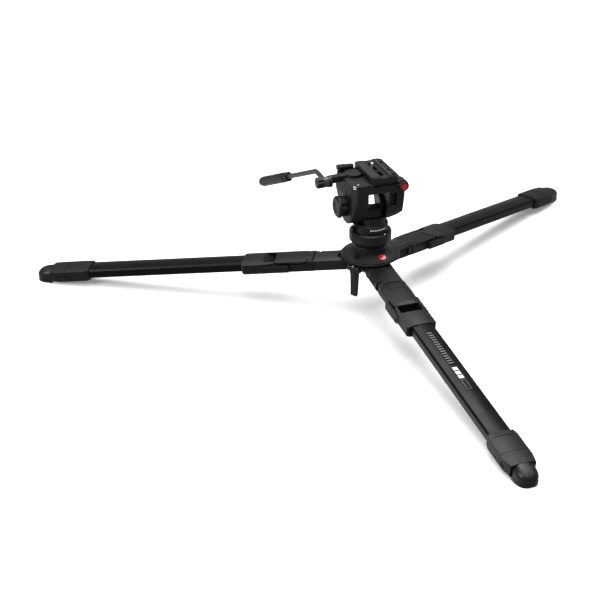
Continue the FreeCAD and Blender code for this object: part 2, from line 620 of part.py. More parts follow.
def pan_housing():
    low = PAN_SPLIT_Z + SLIDE
    disc = turned([(0, low), (BASE_R - 0.8, low), (BASE_R, low + 0.8), (BASE_R, PAN_TOP_Z - 2),
                   (BASE_R - 2, PAN_TOP_Z), (0, PAN_TOP_Z)])
    block = cyl(V(0, 0, PAN_TOP_Z - 1), Z, BASE_R - 1, PAN_BLOCK_Z - PAN_TOP_Z + 1)
    flat = ARM_INNER_X - SLIDE
    block = block.common(box(-flat, flat, -60, 60, PAN_TOP_Z - 2, PAN_BLOCK_Z + 1))
    inner = ARM_INNER_X - SLIDE - UPRIGHT_T
    half = SADDLE_DEPTH / 2
    saddle = side_shape([(-half - 6, PAN_BLOCK_Z - 1), (-half, SADDLE_Z - 6), (-half + 6, SADDLE_Z),
                         (half - 6, SADDLE_Z), (half, SADDLE_Z - 6), (half + 6, PAN_BLOCK_Z - 1)],
                        -inner - 1, inner + 1)
    uprights = []
    for side in (-1, 1):
        start = inner if side > 0 else -inner - UPRIGHT_T
        uprights.append(cyl(V(start, 0, TILT_Z), X, UPRIGHT_R, UPRIGHT_T))
        uprights.append(box(start, start + UPRIGHT_T, -UPRIGHT_R, UPRIGHT_R, PAN_BLOCK_Z - 1, TILT_Z))
    shaft = cyl(V(inner - 1, 0, TILT_Z), X, TRUNNION_R, UPRIGHT_T + 2)
    neck = cyl(V(-inner - UPRIGHT_T - 1, 0, TILT_Z), X, TRUNNION_R, UPRIGHT_T + 2)
    return cut(fuse(disc, block, saddle, *uprights), shaft, neck)


def tilt_cartridge():
    drum = cyl(V(LEFT_ARM_X + 6, 0, TILT_Z), X, CARTRIDGE_R, -ARM_INNER_X - LEFT_ARM_X - 6)
    neck = cyl(V(-ARM_INNER_X - 0.5, 0, TILT_Z), X, TRUNNION_R, UPRIGHT_T + SLIDE + 0.5)
    bore = cyl(V(LEFT_ARM_X + 5, 0, TILT_Z), X, 4.5, 12)
    return cut(fuse(drum, neck), bore)


def tilt_trunnion():
    start = ARM_INNER_X - SLIDE - UPRIGHT_T
    return cyl(V(start, 0, TILT_Z), X, TRUNNION_R, RIGHT_ARM_X - 8 - start)


def arm_outline(radius, front, back, waist_z):
    """Side of an arm: a block at the top, tapering to a round end about the tilt axis."""
    pts = [(front, PLATFORM_BOTTOM + 1), (front, waist_z)]
    for i in range(13):
        a = math.radians(195 + i * 12.5)
        pts.append((radius * math.cos(a), TILT_Z + radius * math.sin(a)))
    return pts + [(back, waist_z), (back, PLATFORM_BOTTOM + 1)]


def cradle():
    front, back = PLATFORM_FRONT, PLATFORM_BACK
    left, right = LEFT_ARM_X, RIGHT_ARM_X
    deck = plate_shape([(left + 9, front), (right - 5, front), (right, front + 6), (right, back - 8),
                        (right - 8, back), (left + 6, back), (left, back - 6), (left, front + 12)],
                       PLATFORM_BOTTOM, PLATFORM_Z)
    left_arm = side_shape(arm_outline(ARM_R, front, back, ARM_WAIST_Z), left, -ARM_INNER_X)
    corner = plate_shape([(left - 1, front - 1), (left + 9, front - 1), (left - 1, front + 12)],
                         TILT_Z - 40, PLATFORM_Z + 1)
    right_arm = side_shape(arm_outline(ARM_R, front, back - 12, ARM_WAIST_Z), ARM_INNER_X, right)
    body = cut(fuse(deck, left_arm, right_arm), corner)
    low = TILT_Z - 40
    ring = [V(x, front - 20, z) for x, z in ((ARM_INNER_X + 2, TILT_Z - ARM_R), (right + 1, TILT_Z - 13),
                                             (right + 1, low), (ARM_INNER_X, low))]
    bevel = Part.Face(Part.makePolygon(ring + ring[:1])).extrude(V(0, 120, 0))
    channel_half = PLATE_CHANNEL_W / 2 + SLIDE
    floor = PLATFORM_Z - PLATE_CHANNEL_DEPTH - SLIDE
    channel = dovetail(channel_half, floor, PLATFORM_Z + 1, front - 1, back + 1)
    cartridge_bore = cyl(V(left + 5, 0, TILT_Z), X, CARTRIDGE_R + RUN, -left)
    cartridge_bore = cartridge_bore.common(box(left, -ARM_INNER_X + 1, -60, 60, 150, 262))
    stem_bore = cyl(V(left - 1, 0, TILT_Z), X, 4.0 + RUN, 12)
    pin_bore = cyl(V(ARM_INNER_X - 1, 0, TILT_Z), X, TRUNNION_R + RUN, right - 6.5 - ARM_INNER_X)
    recess = box(24.0, 36.0, front - 1, front + 9, 214.0, 239.0)
    cover_bed = box(left - 1, left + COVER_T, -60, 60, 150, PLATFORM_Z + 1)
    cover_bed = cover_bed.common(cover_outline(left - 1, left + COVER_T, -SEAT))
    button_bore = cyl(V(BUTTON_X, front - 1, BUTTON_Z), Y, BUTTON_R - 1.2 + SLIDE, 13)
    boss = cyl(V(BUTTON_X, front, BUTTON_Z), Y, BUTTON_R + 1.3, 20)
    bores = [cartridge_bore, stem_bore, pin_bore, button_bore]
    return cut(fuse(body, boss), bevel, channel, recess, cover_bed, *bores)


def cover_outline(x0, x1, margin):
    """Left cover: round about the tilt axis below, wide at the top."""
    r = ARM_R - 3.0 - margin
    pts = [(COVER_FRONT + margin, PLATFORM_Z - 5 - margin), (COVER_FRONT + margin, 226.0)]
    for i in range(13):
        a = math.radians(195 + i * 12.5)
        pts.append((r * math.cos(a), TILT_Z + r * math.sin(a)))
    pts += [(PLATFORM_BACK - 10 - margin, 230.0), (PLATFORM_BACK - 10 - margin, PLATFORM_Z - 5 - margin)]
    return side_shape(pts, x0, x1)


def left_arm_cover():
    cover = cover_outline(LEFT_ARM_X - 0.8, LEFT_ARM_X + COVER_T, 0.0)
    stem_bore = cyl(V(LEFT_ARM_X - 2, 0, TILT_Z), X, 4.0 + RUN, 12)
    flutes = []
    for i in range(7):
        flute = box(LEFT_ARM_X - 2, LEFT_ARM_X + 0.2, -1.1, 1.1, -16, 16)
        flute.rotate(O, X, 35)
        flute.translate(V(0, -14 + 8 * i, TILT_Z + 33))
        flutes.append(flute)
    keep = box(LEFT_ARM_X - 3, LEFT_ARM_X + 1, -21, PLATFORM_BACK - 13, TILT_Z + 22, PLATFORM_Z - 8)
    flutes = [flute.common(keep) for flute in flutes]
    return cut(cover, stem_bore, *flutes)


def dovetail(half_top, z0, z1, y0, y1):
    """Foot that is wider at its bottom, centred on the plate."""
    flare = (PLATFORM_Z - z0) * math.tan(math.radians(20))
    pts = [(-half_top - flare, z0), (half_top + flare, z0), (half_top, PLATFORM_Z), (half_top, z1),
           (-half_top, z1), (-half_top, PLATFORM_Z)]
    wire = Part.makePolygon([V(PLATE_X + a, y0, b) for a, b in pts + pts[:1]])
    return Part.Face(wire).extrude(V(0, y1 - y0, 0))


def lobed_knob(x0, x1, y, z, radius, lobes, notch):
    """Knob on an X axis with round notches in its rim."""
    body = cyl(V(x0, y, z), X, radius, x1 - x0)
    notches = []
    for i in range(lobes):
        a = math.radians((i + 0.5) * 360 / lobes)
        far = radius + notch * 0.55
        notches.append(cyl(V(x0 - 1, y + far * math.cos(a), z + far * math.sin(a)), X, notch, x1 - x0 + 2))
    return cut(body, *notches)


def tilt_knob():
    x_in = LEFT_ARM_X - 0.8 - 1.0
    grip = lobed_knob(x_in - 12, x_in, 0, TILT_Z, TILT_KNOB_R - 1.5, TILT_KNOB_LOBES, 5.0)
    face = turned([(0, 0), (TILT_KNOB_R - 3, 0), (TILT_KNOB_R, 3), (TILT_KNOB_R, 6), (0, 6)])
    face.rotate(O, Y, 90)
    face.translate(V(x_in - 18, 0, TILT_Z))
    face = face.cut(cyl(V(x_in - 19, 0, TILT_Z), X, 10.0, 2.0))
    stem = cyl(V(x_in - 1, 0, TILT_Z), X, 4.0, 14)
    return fuse(grip, face, stem)


def bubble_level():
    vial = turned([(0, 0), (7, 0), (7, 2.0), (6, 2.8), (0, 3.2)])
    vial.translate(V(BUBBLE_X, 0, SADDLE_Z))
    return vial


def sliding_plate():
    y0, y1 = PLATE_Y - PLATE_L / 2, PLATE_Y + PLATE_L / 2
    x0, x1 = PLATE_X - PLATE_W / 2, PLATE_X + PLATE_W / 2
    low = PLATFORM_Z + SLIDE
    c = 5.0
    slab = plate_shape([(x0 + c, y0), (x1 - c, y0), (x1, y0 + c), (x1, y1 - c), (x1 - c, y1),
                        (x0 + c, y1), (x0, y1 - c), (x0, y0 + c)], low, PLATE_TOP_Z)
    foot = dovetail(PLATE_CHANNEL_W / 2, PLATFORM_Z - PLATE_CHANNEL_DEPTH, low + 1, y0 + 3, y1 - 3)
    channel = box(5.0, 22.5, y0 - 1, y1 + 1, PLATE_TOP_Z - 1.5, PLATE_TOP_Z + 1)
    sx = SCREW_XY[0]
    slots = []
    for a, b in ((6.7, 37.5), (-22.0, -6.0)):
        slots.append(box(sx - 3.6, sx + 3.6, a, b, PLATFORM_Z - 10, PLATE_TOP_Z + 1))
        slots.append(cyl(V(sx, a, PLATFORM_Z - 10), Z, 3.6, 30))
        slots.append(cyl(V(sx, b, PLATFORM_Z - 10), Z, 3.6, 30))
    under = box(sx - SCREW_HEAD_R - 0.8, sx + SCREW_HEAD_R + 0.8, 1.0, 43.0, PLATFORM_Z - 10, WASHER_Z + 1.3)
    grooves = []
    for at in (-11.0, -6.5, -2.0, 2.5, 25.0, 37.5):
        grooves.append(box(at - 0.5, at + 0.5, y0 - 1, y1 + 1, PLATE_TOP_Z - 0.7, PLATE_TOP_Z + 1))
    keyholes = [box(30.2, 33.8, y - 5.5, y + 5.5, PLATE_TOP_Z - 3, PLATE_TOP_Z + 1)
                for y in (31.7, -4.6, -30.0)]
    return cut(fuse(slab, foot), channel, under, *slots, *grooves, *keyholes)


def plate_pads():
    y0, y1 = PLATE_Y - PLATE_L / 2 + 7, PLATE_Y + PLATE_L / 2 - 7
    strips = [box(a, a + 3.3, y0, y1, PLATE_TOP_Z, PLATE_TOP_Z + 0.6) for a in (-10.4, -5.9, -1.4, 25.6)]
    return Part.makeCompound(strips)


def screw_washer():
    x, y = SCREW_XY
    ring = cyl(V(x, y, WASHER_Z), Z, SCREW_HEAD_R - 0.5, 1.0)
    return cut(ring, cyl(V(x, y, WASHER_Z - 1), Z, SCREW_NECK_R + RUN, 4))


def camera_screw():
    x, y = SCREW_XY
    head = cyl(V(x, y, SCREW_HEAD_Z), Z, SCREW_HEAD_R, WASHER_Z - SEAT - SCREW_HEAD_Z)
    slot = box(x - 6, x + 6, y - 0.8, y + 0.8, SCREW_HEAD_Z - 1, SCREW_HEAD_Z + 1.5)
    top = PLATE_TOP_Z + SCREW_OUT
    neck = cyl(V(x, y, SCREW_HEAD_Z + 2), Z, SCREW_NECK_R, SCREW_NECK_TOP - SCREW_HEAD_Z)
    thread = cyl(V(x, y, SCREW_NECK_TOP), Z, SCREW_R, top - 0.8 - SCREW_NECK_TOP)
    tip = Part.makeCone(SCREW_R, SCREW_R - 0.8, 0.8, V(x, y, top - 0.8), Z)
    return fuse(cut(head, slot), neck, thread, tip)


def plate_lock_lever():
    low = PLATFORM_Z + SLIDE
    hub = cyl(V(LOCK_X, LOCK_Y, low), Z, 6.0, 9.6)
    arm = plate_shape([(LOCK_X + 3, LOCK_Y - 5.8), (LOCK_X + 3, LOCK_Y + 5.8), (-46.0, LOCK_Y + 9),
                       (-49.0, LOCK_Y + 7), (-49.0, LOCK_Y - 5), (-46.0, LOCK_Y - 7.5)], low + 1.5, low + 9.6)
    return fuse(hub, arm)


def plate_release_button():
    front = PLATFORM_FRONT
    cap = turned([(0, 0), (BUTTON_R, 0), (BUTTON_R, 2.0), (BUTTON_R - 1.5, 3.6),
                  (BUTTON_R - 5, 4.4), (0, 4.6)])
    cap.rotate(O, X, 90)
    cap.translate(V(BUTTON_X, front - BUTTON_TRAVEL - SLIDE, BUTTON_Z))
    stem = cyl(V(BUTTON_X, front - BUTTON_TRAVEL - 1, BUTTON_Z), Y, BUTTON_R - 1.2, 9)
    return fuse(cap, stem)


def handle_bracket():
    disc = cyl(V(BRACKET_X, ROSETTE_Y + 1, PLATFORM_Z + SEAT), Z, BRACKET_DISC_R, 4.5)
    neck = box(BRACKET_X - 5, BRACKET_X + 5, ROSETTE_Y - 4, ROSETTE_Y + 6, PLATFORM_Z + SEAT, PLATFORM_Z + 4)
    arm = taper_arm(BRACKET_END_X, BRACKET_X)
    rosette = cyl(V(BRACKET_END_X - 3.0, ROSETTE_Y, ROSETTE_Z), X, ROSETTE_R, 6.0)
    bore = cyl(V(BRACKET_END_X - 4, ROSETTE_Y, ROSETTE_Z), X, 3.0 + RUN, 16)
    clear = box(LEFT_ARM_X - 0.9, RIGHT_ARM_X, -60, 60, 200, PLATFORM_Z + SEAT)
    beside_plate = box(PLATE_X - PLATE_W / 2 - 0.8, RIGHT_ARM_X, -60, 60, PLATFORM_Z, PLATFORM_Z + 20)
    disc = cut(disc, beside_plate)
    return cut(fuse(disc, neck, cut(fuse(arm, rosette), clear)), bore)


def taper_arm(x0, x1):
    """Arm from the rosette up over the platform's left edge."""
    edge = LEFT_ARM_X - 1.2
    pts = [(x1, PLATFORM_Z + 4.2), (edge - 6, PLATFORM_Z + 4.2), (x0, PLATFORM_Z + 3.2),
           (x0, ROSETTE_Z - 2.5), (edge, ROSETTE_Z - 1.0), (edge, PLATFORM_Z + SEAT), (x1, PLATFORM_Z + SEAT)]
    wire = Part.makePolygon([V(a, ROSETTE_Y - 7, b) for a, b in pts + pts[:1]])
    return Part.Face(wire).extrude(V(0, 14, 0))


def pan_bar():
    eye = cyl(V(EYE_X0, ROSETTE_Y, ROSETTE_Z), X, ROSETTE_R - 1, EYE_T)
    bore = cyl(V(EYE_X0 - 1, ROSETTE_Y, ROSETTE_Z), X, 3.0 + RUN, EYE_T + 2)
    start = V(EYE_X0 + EYE_T / 2, ROSETTE_Y + 2, BAR_BEND.z - 1)
    path = rounded_path([start, BAR_BEND, BAR_TIP - (BAR_TIP - BAR_BEND).normalize() * 12], BEND_R)
    along = (BAR_BEND - start).normalize()
    ring = Part.Wire([Part.makeCircle(BAR_R, start, along)])
    bar = Part.Wire(path).makePipeShell([ring], True, False)
    return cut(fuse(eye, bar), bore)


def rounded_path(points, radius):
    """Straight runs joined by a tangent arc at the middle point."""
    a, b, c = points
    u, w = (a - b).normalize(), (c - b).normalize()
    half = u.getAngle(w) / 2
    reach = radius / math.tan(half)
    p, q = b + u * reach, b + w * reach
    middle = b + (u + w).normalize() * (radius / math.sin(half) - radius)
    return [Part.makeLine(a, p), Part.Arc(p, middle, q).toShape(), Part.makeLine(q, c)]


def grip():
    bore = BAR_R + 0.1
    profile = [(bore, 0), (GRIP_R - 1.5, 0), (GRIP_R - 0.5, 2), (GRIP_R - 0.5, 8), (GRIP_R - 1.8, 9.5),
               (GRIP_R - 1.8, 12), (GRIP_R, 16), (GRIP_R, GRIP_L - 10), (GRIP_R - 1.5, GRIP_L - 4),
               (GRIP_R - 5, GRIP_L - 0.8), (0, GRIP_L), (0, GRIP_L - 11.5), (bore, GRIP_L - 11.5)]
    body = turned(profile)
    along = (BAR_TIP - BAR_BEND).normalize()
    body.Placement = FreeCAD.Placement(BAR_TIP - along * GRIP_L, FreeCAD.Rotation(Z, along))
    return body


def clamp_knob():
    x1 = EYE_X0 - SLIDE
    body = lobed_knob(x1 - 12, x1, ROSETTE_Y, ROSETTE_Z, 10.5, 6, 3.5)
    stem = cyl(V(x1 - 1, ROSETTE_Y, ROSETTE_Z), X, 3.0, EYE_T + 14)
    return fuse(body, stem)


for make in (hub_casting, leg_pivot_bolts, column_lock_lever, column_lever_pin, accessory_cap, column_tube,
             quick_release_body, quick_release_ring, head_base, pan_lock_knob, pan_housing, tilt_cartridge,
             tilt_trunnion, cradle, left_arm_cover, tilt_knob, bubble_level, sliding_plate, plate_pads,
             screw_washer, camera_screw, plate_lock_lever, plate_release_button, handle_bracket, pan_bar,
             grip, clamp_knob):
    parts[make.__name__] = make()

# ---------------------------------------------------------------- origin and output
feet = Part.makeCompound([shape for name, shape in parts.items() if name.endswith("rubber_foot")])
reach = feet.optimalBoundingBox(False, False)
shift = V(-(reach.XMin + reach.XMax) / 2, -(reach.YMin + reach.YMax) / 2, -reach.ZMin)
print("hub axis in the part's frame:", shift)

os.makedirs("parts", exist_ok=True)
for name, shape in parts.items():
    shape.translate(shift)
    shape.exportStep(f"parts/{name}.step")
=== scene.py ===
import json
import math

import bmesh
import bpy
from bpy.props import FloatProperty, FloatVectorProperty, PointerProperty
from mathutils import Matrix, Vector


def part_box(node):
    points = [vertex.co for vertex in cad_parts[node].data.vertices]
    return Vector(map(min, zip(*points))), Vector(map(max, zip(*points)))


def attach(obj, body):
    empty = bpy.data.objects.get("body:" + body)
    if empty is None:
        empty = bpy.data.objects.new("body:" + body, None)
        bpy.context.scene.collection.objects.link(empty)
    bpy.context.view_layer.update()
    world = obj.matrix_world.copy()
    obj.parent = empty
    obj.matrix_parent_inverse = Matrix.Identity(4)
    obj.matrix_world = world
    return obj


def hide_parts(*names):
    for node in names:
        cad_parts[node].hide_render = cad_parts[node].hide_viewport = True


bl_info = {
    "name": "Video Tripod Looks",
    "version": (1, 0, 0),
    "blender": (4, 5, 0),
    "location": "View3D > Sidebar > Tripod",
    "description": "Finishes and small fittings for a video tripod with a fluid head",
    "category": "Object",
}

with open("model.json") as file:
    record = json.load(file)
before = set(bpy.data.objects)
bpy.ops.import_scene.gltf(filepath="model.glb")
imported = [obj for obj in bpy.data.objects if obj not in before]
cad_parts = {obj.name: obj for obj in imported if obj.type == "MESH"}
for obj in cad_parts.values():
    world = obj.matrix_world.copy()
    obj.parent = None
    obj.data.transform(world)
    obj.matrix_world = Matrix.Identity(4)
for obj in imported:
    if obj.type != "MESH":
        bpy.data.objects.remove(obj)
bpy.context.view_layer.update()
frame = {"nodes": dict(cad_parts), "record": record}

MM = 0.001
HUB_Y = sum(corner.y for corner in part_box("column_tube")) / 2 / MM   # the hub axis, in mm
TOUCH = 1e-7                                             # metres: points closer than this are one
SMALL_NODES = {"bubble_level", "screw_washer", "camera_screw", "plate_pads"}   # edges left as made
DARK_STEEL = ("bolt", "pin", "pan_lock", "trunnion", "washer")   # words in the names of such nodes

# Softened edges on the frame: the width is a property, since it depends on how a part is made.
WELD_WITHIN = 2e-6                                       # metres
FLAT_WITHIN, BEVEL_OVER = math.radians(0.8), math.radians(38)
SHARP_FOLD = math.radians(40)                            # on a rubber foot

# Sizes below are in mm and angles in degrees. A place on a leg is given along it from its pivot,
# across it and square to it. A place on the hub or the head is given from the hub axis, with its
# height above the floor.
LEGS = {"front": -90.0, "right": 30.0, "left": 150.0}    # the way each leg points
PIVOT_R, PIVOT_Z, LEG_DROP = 45.0, 90.0, 7.14            # a leg's pivot, and its slope down
COLLAR_SCREW = (552.0, 25.6, -6.0)

FOOT_BACK, FOOT_LONG, FOOT_WIDE = 595.9, 31.4, 19.2      # start along the leg, length, half width
FOOT_WAIST = 3.0                                         # its widest level, below the leg's line
FOOT_TALL, FOOT_DEEP = 15.6, 24.0                        # above and below that level
FOOT_SQUARE, FOOT_DOME, FOOT_BELLY = 0.72, 0.80, 0.35    # 1 is elliptical and less is squarer
DOME_LOW = 6.4                                           # the dome is cut level at this height
SOLE_LOW, SOLE_HIGH, SOLE_PROUD = 0.05, 5.8, 0.35        # the sole's two heights and its overhang

TUBE_TOP = 12.55                                         # the front tube's printed face
TICKS, TICK_SIZE = range(232, 330, 7), (3.2, 9.0)
BARS, BAR_SIZE = (340.5, 352.0, 363.5), (9.0, 9.0)
FRAME_LINES = (((385.0, 4.0), (26.0, 0.8)), ((385.0, -4.0), (26.0, 0.8)),
               ((372.4, 0.0), (0.8, 8.8)), ((397.6, 0.0), (0.8, 8.8)))

BADGE_R, BADGE_Z, BADGE_ANGLE = 42.0, 113.4, -79.0
BADGE_RUN, BADGE_RISE = 9.0, 20.0                        # its face points outward and upward so
BEAD_Z = 109.6
BEAD = ((50.0, -0.6), (50.2, 0.75), (50.7, 0.95), (51.5, 0.6), (51.8, -0.4), (51.8, -1.2))
LOCK_SCREW_R, LOCK_SCREW_Z, LOCK_SCREW_ANGLE = 52.6, 96.8, -150.0
LOCK_SCREW_HEAD = 1.8                                    # a radius, as is the deck screw's

SCALE_R, SCALE_Z, SCALE_MIDDLE, SCALE_STEP = 33.0, 166.0, -84.0, 3.0
SCALE_LONG, SCALE_SHORT, SCALE_LINE = 3.4, 1.9, 0.7      # every third tick is a long one
SCALE_TICKS = range(-9, 10)                              # counted from the middle one
ACCENT_Z, ACCENT_IN, ACCENT_OUT, ACCENT_TALL = 160.2, 32.4, 33.25, 1.0
DOT_R, DOT_Z, DOT_ANGLE, DOT_RADIUS = 37.5, 156.9, -66.0, 1.5
ARM_CORNER, ARM_MARKS_AT = (-0.8, -0.6, 0.0), ((-45.6, -33.9, 260.9), (-45.6, -33.9, 257.1))
ARM_MARK_SIZE, MARK_DEPTH = (6.0, 1.5), 0.3
DECK_SCREW, DECK_SCREW_HEAD = (-36.5, -28.5, 261.6), 1.9
BUTTON_FACE = (47.5, -42.7, 252.5)
BUTTON_RIM = ((9.0, 0.4), (9.65, 0.4), (9.65, 2.05), (8.1, 3.8), (6.3, 4.35), (6.3, 3.7),
              (7.8, 3.3))

# Every finish.
SLOW_GRAIN = 38.0                                        # the patches of gloss and tint
SLOW_RANGE, TINT_RANGE = (0.3, 0.7), (0.88, 1.12)        # of the noise, and of the colour there
BUMP_STRENGTH = 0.35
TUBE_GRAIN = (0.02, 1.0, 1.0)                            # drawn out along the frame's X

# The stage is in metres, from the frame's origin, with the powers in watts.
FLOOR_HALF, FLOOR_WHITE, FLOOR_GLOW = 12.0, 0.93, 0.2
LAMPS = (("overhead", (0.5, 1.0, 2.6), 1.8, 40.0), ("left_side", (-2.4, -0.4, 1.3), 0.9, 34.0))
CAMERA_AT = (-0.9452, -2.1324, 1.2845)
CAMERA_TURN = (-19.3, 27.28, -0.65)                      # azimuth, elevation and roll, in degrees
LENS, SENSOR = 86.7, 36.0


# ---------------------------------------------------------------- sizes and colours
def linear(code):
    """sRGB hex to the linear colour that shaders take."""
    parts = [int(code[i:i + 2], 16) / 255 for i in (1, 3, 5)]
    return tuple(p / 12.92 if p <= 0.04045 else ((p + 0.055) / 1.055) ** 2.4
                 for p in parts) + (1.0,)


class TripodSizes(bpy.types.PropertyGroup):
    edge: FloatProperty(
        name="Moulded edge", description="Edge radius of mouldings and castings",
        default=1.0 * MM, min=0.0, unit="LENGTH")
    machined_edge: FloatProperty(
        name="Machined edge", description="Edge radius of turned and milled parts",
        default=0.3 * MM, min=0.0, unit="LENGTH")
    screw_head: FloatProperty(
        name="Screw head", description="Radius of the cap screws on the end collars",
        default=2.2 * MM, min=0.0005, unit="LENGTH")
    badge: FloatProperty(
        name="Badge", description="Radius of the plain badge on the hub",
        default=7.0 * MM, min=0.001, unit="LENGTH")
    print_height: FloatProperty(
        name="Print height", description="How far the front leg's printed marks stand proud",
        default=0.06 * MM, min=0.00001, unit="LENGTH")


class TripodColours(bpy.types.PropertyGroup):
    casting: FloatVectorProperty(name="Castings", description="Powder coat on the metal castings",
                                 subtype="COLOR", size=3, default=linear("#0f0f10")[:3])
    badge: FloatVectorProperty(name="Badge", description="Enamel of the plain badge",
                               subtype="COLOR", size=3, default=linear("#b5141a")[:3])


# ---------------------------------------------------------------- places
def at(x, y, z):
    """A point given in mm from the hub axis and the floor."""
    return Vector((x * MM, (y + HUB_Y) * MM, z * MM))


def outward(angle):
    """The level direction away from the hub axis, at an angle in degrees."""
    angle = math.radians(angle)
    return Vector((math.cos(angle), math.sin(angle), 0))


def around(radius, angle, height):
    """A point given in mm and degrees about the hub axis."""
    out = outward(angle)
    return at(radius * out.x, radius * out.y, height)


def leg_place(azimuth):
    """Leg frame to the row frame: X runs down the leg, Y across it, Z square to it."""
    turn = Matrix.Rotation(math.radians(azimuth), 4, "Z")
    drop = Matrix.Rotation(math.radians(LEG_DROP), 4, "Y")
    pivot = Matrix.Translation(Vector((PIVOT_R * MM, 0, PIVOT_Z * MM)))
    return Matrix.Translation(at(0, 0, 0)) @ turn @ pivot @ drop


def on_leg(place, along, across, square):
    """A place on a leg, given in mm in the leg's own directions."""
    return place @ Matrix.Translation(Vector((along, across, square)) * MM)


def facing(point, normal):
    """A place whose Z points along the normal."""
    z = Vector(normal).normalized()
    x = Vector((0, 0, 1)).cross(z)
    if x.length < 1e-4:
        x = Vector((1, 0, 0))
    x.normalize()
    turn = Matrix((x, z.cross(x), z)).transposed().to_4x4()
    return Matrix.Translation(point) @ turn


# ---------------------------------------------------------------- materials
def add(tree, kind, links=None, sockets=None, **settings):
    """Adds a node with its settings, socket values and incoming links."""
    node = tree.nodes.new(kind)
    for key, value in settings.items():
        setattr(node, key, value)
    for key, value in (sockets or {}).items():
        node.inputs[key].default_value = value
    for key, source in (links or {}).items():
        tree.links.new(source, node.inputs[key])
    return node


def finish(name, colour, roughness, grain, depth, metallic=0.0, specular=0.5, wear=0.06,
           stretch=(1.0, 1.0, 1.0), turn=0.0, **extra):
    """A finish with a fine surface grain and a slow change of gloss and tint. Grain and depth are
    in mm. Extra holds any further shader values."""
    mat = bpy.data.materials.new(name)
    mat.use_nodes = True
    tree = mat.node_tree
    tree.nodes.clear()
    coord = add(tree, "ShaderNodeTexCoord")
    place = add(tree, "ShaderNodeMapping", {"Vector": coord.outputs["Object"]},
                {"Rotation": (0.0, 0.0, -turn), "Scale": stretch})
    noise = add(tree, "ShaderNodeTexNoise", {"Vector": place.outputs["Vector"]},
                {"Scale": 1.0 / (grain * MM), "Detail": 3.0, "Roughness": 0.6})
    slow = add(tree, "ShaderNodeTexNoise", {"Vector": coord.outputs["Object"]},
               {"Scale": 1.0 / (SLOW_GRAIN * MM), "Detail": 4.0, "Roughness": 0.55})
    low, high = SLOW_RANGE
    gloss_range = add(tree, "ShaderNodeMapRange", {"Value": slow.outputs["Fac"]},
                      {"From Min": low, "From Max": high, "To Min": roughness - wear,
                       "To Max": roughness + wear})
    tint = add(tree, "ShaderNodeValToRGB", {"Fac": slow.outputs["Fac"]})
    base = linear(colour)[:3] if isinstance(colour, str) else tuple(colour)
    for stop, position, share in zip(tint.color_ramp.elements, SLOW_RANGE, TINT_RANGE):
        stop.position = position
        stop.color = tuple(min(1.0, c * share) for c in base) + (1.0,)
    bump = add(tree, "ShaderNodeBump", {"Height": noise.outputs["Fac"]},
               {"Strength": BUMP_STRENGTH, "Distance": depth * MM})
    shader = add(tree, "ShaderNodeBsdfPrincipled",
                 {"Base Color": tint.outputs["Color"], "Roughness": gloss_range.outputs["Result"],
                  "Normal": bump.outputs["Normal"]},
                 {"Metallic": metallic, "Specular IOR Level": specular, **extra})
    add(tree, "ShaderNodeOutputMaterial", {"Surface": shader.outputs["BSDF"]})
    return mat


def make_finishes(colours):
    """Every finish on the tripod, by the name of what it is."""
    made = {
        # magnesium casting, powder coated: a faint orange peel that breaks the highlights
        "powder_coat": finish("powder_coated_casting", colours.casting, 0.44, grain=0.9,
                              depth=0.09, specular=0.42),
        # glass-filled nylon, spark-eroded mould: even fine grain, no sharp reflection
        "nylon": finish("moulded_nylon", "#0e0e0f", 0.48, grain=0.5, depth=0.08, specular=0.30),
        # turned aluminium, anodised black: a soft sheen
        "anodised": finish("anodised_aluminium", "#151517", 0.36, grain=0.5, depth=0.03,
                           metallic=0.2),
        # zinc plated steel: dull bright metal
        "zinc": finish("zinc_plated_steel", "#d4d6d8", 0.46, grain=0.4, depth=0.02, metallic=1.0),
        # black oxide on steel: dark with a thin sheen
        "black_oxide": finish("black_oxide_steel", "#141416", 0.34, grain=0.4, depth=0.02,
                              metallic=0.5),
        # nitrile rubber: dark, with a low sheen
        "rubber": finish("moulded_rubber", "#121213", 0.38, grain=0.8, depth=0.10, specular=0.32),
        # rubber strips on the plate, made lighter grey as a painted highlight: the grey stands in
        # for the light lines that run along the plate
        "pad_rubber": finish("rubber_strip_painted_highlight", "#2b2b2d", 0.50, grain=0.8, depth=0.08),
        # ABS, moulded red: glossy and even
        "red_abs": finish("moulded_red_abs", "#8c1016", 0.34, grain=1.2, depth=0.02,
                          specular=0.35),
        # painted aluminium tube: lighter satin grey
        "bar_paint": finish("painted_aluminium_tube", "#38393b", 0.36, grain=0.6, depth=0.03,
                            metallic=0.3),
        # enamel in a pressed badge: smooth red under a clear coat
        "enamel": finish("badge_enamel", colours.badge, 0.22, grain=2.0, depth=0.01,
                         **{"Coat Weight": 0.6, "Coat Roughness": 0.08}),
        # screen print ink: flat white
        "white_ink": finish("white_screen_print", "#d9d9d6", 0.55, grain=0.4, depth=0.02),
        # screen print ink, thin grey: reads darker because the black shows through
        "grey_ink": finish("grey_screen_print", "#5c5d5f", 0.50, grain=0.4, depth=0.02),
        # anodised accent line
        "copper_line": finish("bronze_anodised_line", "#4a1f16", 0.35, grain=0.8, depth=0.02,
                              metallic=0.6),
        # spirit in an acrylic vial: clear yellow-green
        "spirit": finish("acrylic_vial", "#5d6b2c", 0.10, grain=3.0, depth=0.01, wear=0.03,
                         **{"Transmission Weight": 0.5, "IOR": 1.49}),
    }
    for leg, azimuth in LEGS.items():
        # extruded aluminium, anodised: a very fine grain, drawn out one way
        made[leg + "_tube"] = finish(leg + "_extruded_tube", "#08080b", 0.30, grain=0.5, depth=0.02,
                                     metallic=0.15, specular=0.18, stretch=TUBE_GRAIN,
                                     turn=math.radians(azimuth))
    return made


